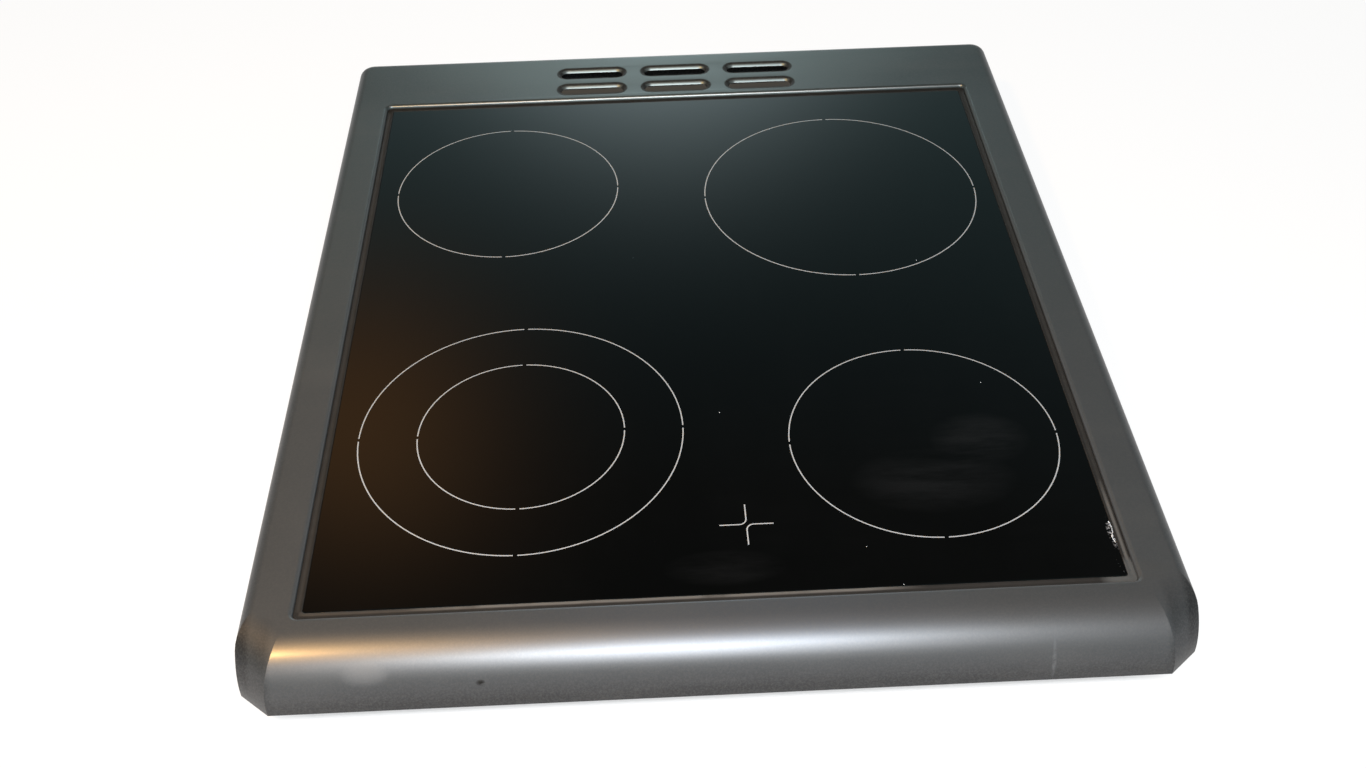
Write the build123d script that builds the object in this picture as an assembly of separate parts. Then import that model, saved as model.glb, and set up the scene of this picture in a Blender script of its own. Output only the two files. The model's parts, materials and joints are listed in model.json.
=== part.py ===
from build123d import *
import os
from math import asin, cos, hypot, pi, radians, sin, sqrt

# Ceramic hotplate top of a 50 cm cooker: a pressed sheet-steel surround with a glass-ceramic
# plate bonded into its recess, and four radiant heaters that leaf springs press up against
# the glass from two support bridges.
# Frame: millimetres, +Z up, +Y towards the back, origin under the middle of the whole part.

os.makedirs("parts", exist_ok=True)

# ---- surround -------------------------------------------------------------------------
WIDTH = 500.0                 # left to right, a standard 50 cm cooker
DEPTH = 606.0                 # nose to rear edge
SHEET = 1.0                   # surround sheet thickness
SURROUND_TOP = 54.0
SKIRT_DROP = 29.2             # height of the skirt and the nose
SIDE_ROLL = 8.0               # outer radius where the top turns down into the skirt
REAR_CORNER = 12.0            # plan radius of the two rear corners
NOSE_ROLL = 33.0              # large radius of the front nose
FACET_ROLL = 31.0             # radius of the two bevelled nose corners
FACET_ACROSS = 16.0           # how much of the front each bevelled corner takes
FACET_ALONG = 13.5            # how much of the side it takes
SIDE_FLANGE = 14.0            # in-turned flange under each side
NOSE_FLANGE = 10.0            # return under the nose
FLANGE_HOLE = 4.5             # fixing holes in the side flanges
FLANGE_HOLE_Y = (-215.0, 235.0)

# ---- glass and its seat ---------------------------------------------------------------
GLASS_WIDTH = 434.0
GLASS_DEPTH = 489.7
GLASS_THICK = 4.0
GLASS_Y = -13.2               # middle of the glass behind the middle of the part
GLASS_TOP = SURROUND_TOP - 2.0
GLASS_CORNER = 2.0
GLASS_ARRIS = 0.5             # ground edge of the glass
JOINT_GAP = 4.4               # silicone joint between glass and recess wall
RECESS_ROLL = 2.5             # radius of the recess mouth
RECESS_CORNER = 3.5
ADHESIVE_BED = 1.0
SEAT_OVERLAP = 6.5            # how far the seat ledge reaches under the glass
SEAT_LIP = 4.0                # stiffening lip turned down from the ledge
JOINT_TOP = GLASS_TOP - 0.6

# ---- vent slots -----------------------------------------------------------------------
VENT_LENGTH = 54.6            # rim to rim
VENT_WIDTH = 17.0
VENT_ROLL = 3.6               # outer radius of the rolled-in lip
VENT_LIP_ANGLE = 72.0         # how far round the lip is rolled
VENT_LIP_STEPS = 3            # the lip is bent over in small flats, fewer on its hidden side
VENT_BACK_STEPS = 2
VENT_PITCH_X = 65.1
VENT_ROWS_Y = (250.65, 274.15)
VENT_COLUMNS = (-1, 0, 1)

# ---- heaters --------------------------------------------------------------------------
HEATER_TOP = GLASS_TOP - GLASS_THICK
HEATER_FLOOR = HEATER_TOP - 30.0
PAN_SHEET = 0.6
PAN_WALL = 21.0
BOARD_THICK = 12.0            # insulating board in the pan
BOARD_PLAY = 0.3              # gap between insulation and pan wall
RING_WALL = 9.0               # width of the insulating ring
SMALL_PAN = 165.0             # outer diameters of the pans
LARGE_PAN = 199.0
INNER_CIRCUIT = 121.2         # middle of the wall round the inner circuit
PARTITION_WALL = 6.0
DRUM_SIDES = 36               # flats round every pan, board and ring
ROD_SIDES = 12
LAMP_SIDES = 8
NOTCH_ROOM = 0.5              # play round whatever passes through a notch

RIBBON_HEIGHT = 5.0
RIBBON_THICK = 0.8
RIBBON_SIDES = 10             # the corrugated ribbon follows straight runs between its anchors
LEAD_OFFSET = 7.0             # leads either side of the terminal axis
INNER_LEAD_OFFSET = 5.0
OUTER_LEAD_OFFSET = 17.0
SMALL_TURNS = (64.0, 46.0, 28.0)
LARGE_TURNS = (80.0, 57.0, 34.0)
OUTER_TURNS = (76.0,)
INNER_TURNS = (48.0, 33.0, 18.0)

ROD_DIAMETER = 5.0
ROD_Z = HEATER_FLOOR + 21.5
ROD_SOCKET = 6.0
SHELF_WIDTH = 16.0            # pan tongues that carry the limiter switch and the terminals
SHELF_LENGTH = 16.0
BLOCK_GAP = 0.8               # between pan wall and the blocks beside it
SWITCH_BODY = (20.0, 34.0, 23.0)
TERMINAL_BODY = (18.0, 26.0, 20.0)
DUAL_TERMINAL_WIDTH = 50.0
NECK_WIDTH = 20.0             # ceramic neck that carries the leads through the wall
DUAL_NECK_WIDTH = 40.0
NECK_HEIGHT = 7.0
TAB = (8.0, 6.3, 0.8)         # push-on terminals

# name, x, y, pan diameter, limiter and terminal directions in degrees, two circuits
HEATERS = (
    ("rear_left", -124.8, 119.7, SMALL_PAN, -78.0, -110.0, False),
    ("rear_right", 109.0, 102.0, LARGE_PAN, -102.0, -70.0, False),
    ("front_left", -107.2, -129.9, LARGE_PAN, 78.0, 110.0, True),
    ("front_right", 126.4, -147.7, SMALL_PAN, 102.0, 70.0, False),
)

# ---- support bridges and leaf springs -------------------------------------------------
BRIDGE_SHEET = 1.0
BRIDGE_WIDTH = 44.0
BRIDGE_HEIGHT = 12.0
BRIDGE_FRONT_Y = -138.8
BRIDGE_REAR_Y = 110.85
BRIDGE_RISER_X = 219.0        # where the bridge climbs to the side flanges
BRIDGE_TAB_END = 247.0
BRIDGE_SCREW = 4.0            # shank diameter
SCREW_HEAD_RADIUS = 4.0
SCREW_HEAD = 2.5
SPRING_SHEET = 0.6
SPRING_WIDTH = 18.0
SPRING_SEAT = 8.0             # half length of the part riveted to the bridge
SPRING_REACH = 45.0
SPRING_PAD = 6.0              # flat end that touches the pan
TONGUE_WIDTH = 10.0           # pan tongues that slide in the bridge slots
TONGUE_OFFSET = 34.0
TONGUE_CLEARANCE = 0.6
TONGUE_BOTTOM = 5.0

# ---- residual-heat lamps --------------------------------------------------------------
LAMP_X = 18.9
LAMP_Y = -209.6
LAMP_HOLDER = (46.0, 36.0, 13.0)
LAMP_WALL = 2.0
LAMP_RADIUS = 3.0
LAMP_HEIGHT = 7.0
LAMP_SPACING = 17.0
DIFFUSER_THICK = 1.2
BRACKET_SHEET = 1.0
BRACKET_WIDTH = 18.0
BRACKET_BEND_Y = -176.0
BRACKET_SCREW_Y = -153.0

SKIRT_BOTTOM = SURROUND_TOP - SKIRT_DROP
LEDGE_TOP = GLASS_TOP - GLASS_THICK - ADHESIVE_BED
RECESS_WIDTH = GLASS_WIDTH + 2 * JOINT_GAP
RECESS_DEPTH = GLASS_DEPTH + 2 * JOINT_GAP
FLANGE_X = WIDTH / 2 - SHEET - SIDE_FLANGE / 2
BOARD_TOP = HEATER_FLOOR + PAN_SHEET + BOARD_THICK
NOSE_REACH = NOSE_ROLL - sqrt(NOSE_ROLL**2 - (NOSE_ROLL - SKIRT_DROP) ** 2)
STANDING = (Align.CENTER, Align.CENTER, Align.MIN)
OUTWARD = (Align.MIN, Align.CENTER, Align.MIN)


def plate(width, depth, bottom, top, corner=0.0, x=0.0, y=0.0):
    """Upright block with rounded vertical corners, standing on its bottom height."""
    block = Pos(x, y, bottom) * Box(width, depth, top - bottom, align=STANDING)
    if corner:
        block = fillet(block.edges().filter_by(Axis.Z), corner)
    return block


def rolled_slab(x, y, outward_x, outward_y, roll, inset):
    """Everything behind an edge line whose top turns down through a radius."""
    reach, span, depth = 800.0, 1000.0, 90.0
    slab = Box(reach, span, depth, align=(Align.MAX, Align.CENTER, Align.MAX))
    rim = slab.edges().filter_by(Axis.Y).group_by(Axis.Z)[-1].sort_by(Axis.X)[-1]
    slab = fillet(rim, roll - inset)
    length = hypot(outward_x, outward_y)
    place = Plane(
        origin=(x - inset * outward_x / length, y - inset * outward_y / length, SURROUND_TOP - inset),
        x_dir=(outward_x, outward_y, 0),
        z_dir=(0, 0, 1),
    )
    return place * slab


def surround_form(inset):
    """Outer form of the surround, or the same form moved inwards by a sheet thickness."""
    half = WIDTH / 2 - inset
    front = -DEPTH / 2 - NOSE_REACH
    rear = DEPTH / 2 - inset
    form = Pos(0, (front + rear) / 2, SURROUND_TOP - inset) * Box(
        2 * half, rear - front, 60, align=(Align.CENTER, Align.CENTER, Align.MAX)
    )
    form = fillet(form.edges().filter_by(Axis.Z).group_by(Axis.Y)[-1], REAR_CORNER - inset)
    rim = form.edges().group_by(Axis.Z)[-1]
    front_edge = rim.sort_by(Axis.Y)[0]
    form = fillet([edge for edge in rim if edge is not front_edge], SIDE_ROLL - inset)
    form &= rolled_slab(0, front, 0, -1, NOSE_ROLL, inset)
    for side in (-1, 1):
        corner_x = side * (WIDTH / 2 - FACET_ACROSS)
        form &= rolled_slab(corner_x, front, side * FACET_ALONG, -FACET_ACROSS, FACET_ROLL, inset)
    return form


def lip_arc(half_width, radius, steps):
    """Points of one side of the rolled lip, from the top surface round and down."""
    turns = [radians(VENT_LIP_ANGLE) * step / steps for step in range(steps + 1)]
    return [(half_width - radius * sin(turn), radius * cos(turn) - VENT_ROLL) for turn in turns]


def vent_lip():
    """Sheet-metal lip rolled in and down around one obround vent slot, its top at z = 0."""
    half = VENT_WIDTH / 2
    outside = lip_arc(half, VENT_ROLL, VENT_LIP_STEPS)
    inside = lip_arc(half, VENT_ROLL - SHEET, VENT_BACK_STEPS)
    section = Plane.YZ * Polygon(*outside, *reversed(inside), align=None)
    straight = VENT_LENGTH / 2 - half
    side = extrude(section, straight, both=True)
    end = Pos(straight, 0, 0) * revolve(section, Axis.Z, -180)
    lip = side + end
    return lip + Rot(0, 0, 180) * lip


def vents():
    return [
        Location((column * VENT_PITCH_X, row, SURROUND_TOP))
        for row in VENT_ROWS_Y
        for column in VENT_COLUMNS
    ]


def hob_surround():
    outer = surround_form(0)
    shell = outer - surround_form(SHEET)
    shell &= plate(WIDTH + 10, DEPTH + 10, SKIRT_BOTTOM, SURROUND_TOP + 5)
    # flanges turned in under both sides and the nose, none along the rear
    window = plate(
        WIDTH - 2 * SHEET - 2 * SIDE_FLANGE,
        DEPTH - SHEET - NOSE_FLANGE,
        SKIRT_BOTTOM - 1,
        SKIRT_BOTTOM + SHEET + 1,
        y=(NOSE_FLANGE - SHEET) / 2,
    )
    shell += (outer & plate(WIDTH, DEPTH, SKIRT_BOTTOM, SKIRT_BOTTOM + SHEET)) - window
    # recess: a tray hung in the top, open in the middle, with a lip turned down round the opening
    tray = plate(
        RECESS_WIDTH + 2 * SHEET,
        RECESS_DEPTH + 2 * SHEET,
        LEDGE_TOP - SHEET,
        SURROUND_TOP,
        RECESS_CORNER + SHEET,
        y=GLASS_Y,
    )
    opening_width = GLASS_WIDTH - 2 * SEAT_OVERLAP
    opening_depth = GLASS_DEPTH - 2 * SEAT_OVERLAP
    lip = plate(
        opening_width + 2 * SHEET,
        opening_depth + 2 * SHEET,
        LEDGE_TOP - SEAT_LIP,
        LEDGE_TOP,
        y=GLASS_Y,
    )
    shell += tray + lip
    shell -= plate(RECESS_WIDTH, RECESS_DEPTH, LEDGE_TOP, SURROUND_TOP + 1, RECESS_CORNER, y=GLASS_Y)
    shell -= plate(opening_width, opening_depth, 0, SURROUND_TOP, y=GLASS_Y)
    mouth = [
        edge
        for edge in shell.edges().filter_by_position(Axis.Z, SURROUND_TOP - 0.01, SURROUND_TOP + 0.01)
        if abs(edge.center().X) < WIDTH / 2 - 20 and -270 < edge.center().Y < 240
    ]
    shell = fillet(mouth, RECESS_ROLL)
    for place in vents():
        slot = extrude(SlotOverall(VENT_LENGTH, VENT_WIDTH), 3 * SHEET, both=True)
        shell -= place * slot
    for place in vents():
        shell += place * vent_lip()
    for side in (-1, 1):
        for y in FLANGE_HOLE_Y:
            shell -= Pos(side * FLANGE_X, y, SKIRT_BOTTOM) * Cylinder(FLANGE_HOLE / 2, 4 * SHEET)
        for y in (BRIDGE_FRONT_Y, BRIDGE_REAR_Y):
            shell -= screw_shank(side * FLANGE_X, y)
    return shell


def screw_shank(x, y):
    """Thread-cutting screws, drawn as a plain hexagon through both sheets."""
    length = 6 * SHEET
    return Pos(x, y, SKIRT_BOTTOM - length / 2) * extrude(RegularPolygon(BRIDGE_SCREW / 2, 6), length)


def drum(radius, bottom, top, sides=DRUM_SIDES):
    """Round drum in many equal flats, so that nested drums keep an even gap."""
    return Pos(0, 0, bottom) * extrude(RegularPolygon(radius, sides), top - bottom)


def glass():
    sheet = plate(GLASS_WIDTH, GLASS_DEPTH, HEATER_TOP, GLASS_TOP, GLASS_CORNER, y=GLASS_Y)
    return chamfer(sheet.edges().group_by(Axis.Z)[-1], GLASS_ARRIS)


def glass_sealant():
    """Silicone joint that fills the gap between the glass edge and the recess wall."""
    joint = plate(RECESS_WIDTH, RECESS_DEPTH, LEDGE_TOP, JOINT_TOP, RECESS_CORNER, y=GLASS_Y)
    return joint - plate(GLASS_WIDTH, GLASS_DEPTH, 0, SURROUND_TOP, GLASS_CORNER, y=GLASS_Y)


def glass_adhesive():
    """Bed of adhesive between the seat ledge and the underside of the glass."""
    bed = plate(GLASS_WIDTH, GLASS_DEPTH, LEDGE_TOP, HEATER_TOP, GLASS_CORNER, y=GLASS_Y)
    inner_width = GLASS_WIDTH - 2 * SEAT_OVERLAP
    inner_depth = GLASS_DEPTH - 2 * SEAT_OVERLAP
    return bed - plate(inner_width, inner_depth, 0, SURROUND_TOP, y=GLASS_Y)


def bar(start, end, width, bottom, top, y=0.0):
    """Straight bar along x between two distances from the axis."""
    return Pos(start, y, bottom) * Box(end - start, width, top - bottom, align=OUTWARD)


def turned(shape, angle):
    return Rot(0, 0, angle) * shape


def heater_pan(x, y, diameter, limiter, terminal, neck_width, bridge_y):
    """Pressed pan with rim notches, shelves for its two blocks, and tongues for the bridge."""
    radius = diameter / 2
    top = HEATER_FLOOR + PAN_WALL
    pan = drum(radius, HEATER_FLOOR, top) - drum(radius - PAN_SHEET, HEATER_FLOOR + PAN_SHEET, top)
    rod_notch = bar(radius - 4, radius + 4, ROD_DIAMETER + 4 * NOTCH_ROOM, ROD_Z - ROD_DIAMETER, top + 1)
    neck_notch = bar(radius - 9, radius + 4, neck_width + 2 * NOTCH_ROOM, BOARD_TOP - NOTCH_ROOM, top + 1)
    pan -= turned(rod_notch, limiter) + turned(neck_notch, terminal)
    shelf = bar(radius - 1, radius + SHELF_LENGTH, SHELF_WIDTH, HEATER_FLOOR, HEATER_FLOOR + PAN_SHEET)
    pan += [turned(shelf, limiter), turned(shelf, terminal)]
    for side in (-1, 1):
        middle = Pos(side * TONGUE_OFFSET, bridge_y - y, TONGUE_BOTTOM)
        pan += middle * Box(TONGUE_WIDTH, PAN_SHEET, HEATER_FLOOR - TONGUE_BOTTOM, align=STANDING)
    return Pos(x, y) * pan


def insulation_base(x, y, diameter):
    board_radius = diameter / 2 - PAN_SHEET - BOARD_PLAY
    return Pos(x, y) * drum(board_radius, HEATER_FLOOR + PAN_SHEET, BOARD_TOP)


def wall_ring(outer_radius, width):
    return drum(outer_radius, BOARD_TOP, HEATER_TOP) - drum(outer_radius - width, BOARD_TOP, HEATER_TOP)


def insulation_ring(x, y, diameter, limiter, terminal, neck_width):
    """Ring that closes the gap up to the glass, notched for the limiter rod and the leads."""
    outer_radius = diameter / 2 - PAN_SHEET - BOARD_PLAY
    ring = wall_ring(outer_radius, RING_WALL)
    rod_top = ROD_Z + ROD_DIAMETER / 2 + NOTCH_ROOM
    rod_notch = bar(
        outer_radius - 2 * RING_WALL, outer_radius + 1, ROD_DIAMETER + 2 * NOTCH_ROOM, BOARD_TOP, rod_top
    )
    neck_notch = bar(
        outer_radius - 3 * RING_WALL,
        outer_radius + 1,
        neck_width + 2 * NOTCH_ROOM,
        BOARD_TOP,
        BOARD_TOP + NECK_HEIGHT + NOTCH_ROOM,
    )
    ring -= turned(rod_notch, limiter) + turned(neck_notch, terminal)
    return Pos(x, y) * ring


def partition_ring(x, y, limiter, terminal):
    """Wall round the inner circuit, notched for the rod and for the inner leads."""
    ring = wall_ring((INNER_CIRCUIT + PARTITION_WALL) / 2, PARTITION_WALL)
    rod_top = ROD_Z + ROD_DIAMETER / 2 + NOTCH_ROOM
    rod_notch = bar(-INNER_CIRCUIT, INNER_CIRCUIT, ROD_DIAMETER + 2 * NOTCH_ROOM, BOARD_TOP, rod_top)
    lead_room = 2 * INNER_LEAD_OFFSET + 4 * RIBBON_THICK
    lead_notch = bar(0, INNER_CIRCUIT, lead_room, BOARD_TOP, BOARD_TOP + NECK_HEIGHT)
    ring -= turned(rod_notch, limiter) + turned(lead_notch, terminal)
    return Pos(x, y) * ring


def mitred(path, distance):
    """Points a set distance to the left of an open path, mitred where it turns."""
    points = []
    for here, (x, y) in enumerate(path):
        before = path[max(here - 1, 0)]
        after = path[min(here + 1, len(path) - 1)]
        arrive = Vector(x - before[0], y - before[1]).normalized() if here else None
        leave = Vector(after[0] - x, after[1] - y).normalized() if here < len(path) - 1 else arrive
        along = ((arrive or leave) + leave).normalized()
        reach = distance / along.dot(leave)
        points.append((x - along.Y * reach, y + along.X * reach))
    return points


def ribbon_element(x, y, turns, lead_offset, lead_end, terminal):
    """Heating ribbon: in along one lead, back and forth round the turns, out along the other."""
    path = [(lead_end, lead_offset)]
    last = len(turns) - 1
    for turn, radius in enumerate(turns):
        start = asin(lead_offset / radius)
        end = 2 * pi - asin((1 if turn == last else 3) * lead_offset / radius)
        step = (end - start) / RIBBON_SIDES
        arc = [
            (radius * cos(start + step * side), radius * sin(start + step * side))
            for side in range(RIBBON_SIDES + 1)
        ]
        path += arc if turn % 2 == 0 else reversed(arc)
    path.append((lead_end, -lead_offset))
    outline = mitred(path, RIBBON_THICK / 2) + mitred(path[::-1], RIBBON_THICK / 2)
    ribbon = extrude(Polygon(*outline, align=None), RIBBON_HEIGHT, dir=(0, 0, 1))
    return Pos(x, y, BOARD_TOP) * turned(ribbon, terminal)


def limiter_rod(x, y, diameter, limiter):
    radius = diameter / 2
    near = radius + BLOCK_GAP + ROD_SOCKET
    far = -(radius - PAN_SHEET - BOARD_PLAY - RING_WALL - 1)
    rod = Pos(far, 0, ROD_Z) * Rot(0, 90, 0) * drum(ROD_DIAMETER / 2, 0, near - far, ROD_SIDES)
    return Pos(x, y) * turned(rod, limiter)


def tabs(start, spacing, z, count):
    """Row of push-on terminals that point outwards from a block."""
    first = -spacing * (count - 1) / 2
    return [bar(start, start + TAB[0], TAB[1], z, z + TAB[2], first + spacing * n) for n in range(count)]


def limiter_switch(x, y, diameter, limiter):
    """Switch block of the rod limiter, standing on its shelf outside the pan."""
    start = diameter / 2 + BLOCK_GAP
    length, width, height = SWITCH_BODY
    floor = HEATER_FLOOR + PAN_SHEET
    body = bar(start, start + length, width, floor, floor + height)
    socket_radius = ROD_DIAMETER / 2 + NOTCH_ROOM
    socket = Rot(0, 90, 0) * drum(socket_radius, 0, ROD_SOCKET, ROD_SIDES)
    body -= Pos(start, 0, ROD_Z) * socket
    body -= bar(start + length / 2, start + length, width / 4, floor + height / 2, floor + height)
    body += tabs(start + length, 2 * TAB[0], floor + height / 3, 2)
    return Pos(x, y) * turned(body, limiter)


def terminal_block(x, y, diameter, terminal, width, neck_width, poles):
    """Ceramic terminal block whose neck reaches through the wall to the ribbon leads."""
    start = diameter / 2 + BLOCK_GAP
    length, _, height = TERMINAL_BODY
    floor = HEATER_FLOOR + PAN_SHEET
    body = bar(start, start + length, width, floor, floor + height)
    body += bar(neck_end(diameter), start + 1, neck_width, BOARD_TOP, BOARD_TOP + NECK_HEIGHT)
    body += tabs(start + length, TAB[0] + 4, floor + height / 2, poles)
    return Pos(x, y) * turned(body, terminal)


def neck_end(diameter):
    return diameter / 2 - PAN_SHEET - BOARD_PLAY - RING_WALL - 1


def support_bridge(y):
    """Channel that spans the cooker under a pair of heaters and is hung from the side flanges."""
    under = BRIDGE_HEIGHT - BRIDGE_SHEET
    bridge = bar(-BRIDGE_RISER_X, BRIDGE_RISER_X, BRIDGE_WIDTH, under, BRIDGE_HEIGHT)
    for side in (-1, 1):
        flange = bar(-BRIDGE_RISER_X, BRIDGE_RISER_X, BRIDGE_SHEET, 0, BRIDGE_HEIGHT)
        bridge += Pos(0, side * (BRIDGE_WIDTH - BRIDGE_SHEET) / 2) * flange
    for turn in (0, 180):
        riser = bar(BRIDGE_RISER_X - BRIDGE_SHEET, BRIDGE_RISER_X, BRIDGE_WIDTH, under, SKIRT_BOTTOM)
        tab = bar(BRIDGE_RISER_X - 1, BRIDGE_TAB_END, BRIDGE_WIDTH, SKIRT_BOTTOM - BRIDGE_SHEET, SKIRT_BOTTOM)
        end = riser + tab - screw_shank(FLANGE_X, 0)
        bridge += turned(end, turn)
    for _, heater_x, heater_y, *_ in HEATERS:
        if (heater_y > 0) == (y > 0):
            for side in (-1, 1):
                slot = Box(
                    TONGUE_WIDTH + 2 * TONGUE_CLEARANCE,
                    PAN_SHEET + 2 * TONGUE_CLEARANCE,
                    4 * BRIDGE_SHEET,
                )
                bridge -= Pos(heater_x + side * TONGUE_OFFSET, 0, BRIDGE_HEIGHT) * slot
    return Pos(0, y) * bridge


def leaf_spring(x, y):
    """Bent steel strip riveted to a bridge, both arms pressing up on the pan floor."""
    low, high = BRIDGE_HEIGHT, HEATER_FLOOR - SPRING_SHEET
    shape = [
        (-SPRING_REACH, high),
        (-SPRING_REACH + SPRING_PAD, high),
        (-SPRING_SEAT, low),
        (SPRING_SEAT, low),
        (SPRING_REACH - SPRING_PAD, high),
        (SPRING_REACH, high),
    ]
    top = [(along, z + SPRING_SHEET) for along, z in reversed(shape)]
    strip = extrude(Plane.YZ * Polygon(*shape, *top, align=None), SPRING_WIDTH / 2, both=True)
    return Pos(x, y) * strip


def bridge_of(y):
    return BRIDGE_REAR_Y if y > 0 else BRIDGE_FRONT_Y


def bridge_screws():
    """Hexagon screws up through the bridge tabs into the side flanges."""
    foot = SKIRT_BOTTOM - BRIDGE_SHEET - SCREW_HEAD
    head = extrude(RegularPolygon(SCREW_HEAD_RADIUS, 6), SCREW_HEAD)
    return [
        Pos(side * FLANGE_X, y, foot) * head + screw_shank(side * FLANGE_X, y)
        for side in (-1, 1)
        for y in (BRIDGE_FRONT_Y, BRIDGE_REAR_Y)
    ]


def lamp_holder():
    """Open tray under the glass for the four residual-heat lamps."""
    width, depth, height = LAMP_HOLDER
    floor = HEATER_TOP - height
    tray = plate(width, depth, floor, HEATER_TOP, LAMP_WALL, LAMP_X, LAMP_Y)
    room = plate(width - 2 * LAMP_WALL, depth - 2 * LAMP_WALL, floor + LAMP_WALL, HEATER_TOP, 0, LAMP_X, LAMP_Y)
    return tray - room


def residual_heat_lamps():
    lamp = drum(LAMP_RADIUS, 0, LAMP_HEIGHT, LAMP_SIDES)
    foot = HEATER_TOP - LAMP_HOLDER[2] + LAMP_WALL
    half = LAMP_SPACING / 2
    return [
        Pos(LAMP_X + across * half, LAMP_Y + along * half, foot) * lamp
        for across in (-1, 1)
        for along in (-1, 1)
    ]


def lamp_diffuser():
    width, depth, _ = LAMP_HOLDER
    room = 2 * LAMP_WALL
    return plate(width - room, depth - room, HEATER_TOP - DIFFUSER_THICK, HEATER_TOP, 0, LAMP_X, LAMP_Y)


def lamp_bracket():
    """Z-bent strip from the front bridge up to the underside of the lamp holder."""
    low = BRIDGE_HEIGHT
    high = HEATER_TOP - LAMP_HOLDER[2]
    front = LAMP_Y - LAMP_HOLDER[1] / 2
    rear = BRIDGE_FRONT_Y - 2
    profile = [
        (rear, low),
        (rear, low + BRACKET_SHEET),
        (BRACKET_BEND_Y + BRACKET_SHEET, low + BRACKET_SHEET),
        (BRACKET_BEND_Y + BRACKET_SHEET, high),
        (front, high),
        (front, high - BRACKET_SHEET),
        (BRACKET_BEND_Y, high - BRACKET_SHEET),
        (BRACKET_BEND_Y, low),
    ]
    return Pos(LAMP_X) * extrude(Plane.YZ * Polygon(*profile, align=None), BRACKET_WIDTH / 2, both=True)


def make_parts():
    made = {
        "hob_surround": hob_surround(),
        "ceramic_glass": glass(),
        "glass_sealant": glass_sealant(),
        "glass_adhesive": glass_adhesive(),
        "front_support_bridge": support_bridge(BRIDGE_FRONT_Y),
        "rear_support_bridge": support_bridge(BRIDGE_REAR_Y),
        "bridge_screws": bridge_screws(),
        "lamp_holder": lamp_holder(),
        "residual_heat_lamps": residual_heat_lamps(),
        "lamp_diffuser": lamp_diffuser(),
        "lamp_bracket": lamp_bracket(),
    }
    for name, x, y, diameter, limiter, terminal, dual in HEATERS:
        neck = DUAL_NECK_WIDTH if dual else NECK_WIDTH
        block = DUAL_TERMINAL_WIDTH if dual else TERMINAL_BODY[1]
        turns = LARGE_TURNS if diameter == LARGE_PAN else SMALL_TURNS
        lead_end = neck_end(diameter)
        bridge_y = bridge_of(y)
        made[f"{name}_spring"] = leaf_spring(x, bridge_y)
        made[f"{name}_pan"] = heater_pan(x, y, diameter, limiter, terminal, neck, bridge_y)
        made[f"{name}_insulation_base"] = insulation_base(x, y, diameter)
        made[f"{name}_insulation_ring"] = insulation_ring(x, y, diameter, limiter, terminal, neck)
        made[f"{name}_limiter_rod"] = limiter_rod(x, y, diameter, limiter)
        made[f"{name}_limiter_switch"] = limiter_switch(x, y, diameter, limiter)
        poles = 4 if dual else 2
        made[f"{name}_terminal_block"] = terminal_block(x, y, diameter, terminal, block, neck, poles)
        if dual:
            made[f"{name}_partition_ring"] = partition_ring(x, y, limiter, terminal)
            outer = ribbon_element(x, y, OUTER_TURNS, OUTER_LEAD_OFFSET, lead_end, terminal)
            inner = ribbon_element(x, y, INNER_TURNS, INNER_LEAD_OFFSET, lead_end, terminal)
            made[f"{name}_outer_ribbon"] = outer
            made[f"{name}_inner_ribbon"] = inner
        else:
            made[f"{name}_ribbon"] = ribbon_element(x, y, turns, LEAD_OFFSET, lead_end, terminal)
    return made


for node, shape in make_parts().items():
    if isinstance(shape, list):
        shape = Compound(children=shape)
    export_step(shape, f"parts/{node}.step")
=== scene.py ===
import json
import math
import random

import bmesh
import bpy
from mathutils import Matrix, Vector, noise


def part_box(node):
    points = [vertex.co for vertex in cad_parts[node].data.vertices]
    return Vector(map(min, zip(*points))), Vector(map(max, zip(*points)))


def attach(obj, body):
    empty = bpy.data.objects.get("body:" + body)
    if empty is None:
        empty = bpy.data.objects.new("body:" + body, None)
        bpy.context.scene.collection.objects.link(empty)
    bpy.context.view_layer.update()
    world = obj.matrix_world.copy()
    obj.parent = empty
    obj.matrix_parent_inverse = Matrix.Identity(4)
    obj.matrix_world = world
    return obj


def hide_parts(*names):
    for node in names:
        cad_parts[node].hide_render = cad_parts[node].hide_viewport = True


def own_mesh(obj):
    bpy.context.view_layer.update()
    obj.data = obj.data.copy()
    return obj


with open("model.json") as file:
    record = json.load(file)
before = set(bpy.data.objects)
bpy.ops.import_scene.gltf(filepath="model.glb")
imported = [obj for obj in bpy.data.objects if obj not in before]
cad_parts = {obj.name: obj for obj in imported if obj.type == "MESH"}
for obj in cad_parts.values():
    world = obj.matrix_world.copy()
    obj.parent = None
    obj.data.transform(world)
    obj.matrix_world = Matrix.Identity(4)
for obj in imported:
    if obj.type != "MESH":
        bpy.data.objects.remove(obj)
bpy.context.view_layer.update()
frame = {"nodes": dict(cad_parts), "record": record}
nodes = frame["nodes"]
MM = 0.001
HOB = "hob_body"

# ---- places taken from the solids ---------------------------------------------------------

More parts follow.
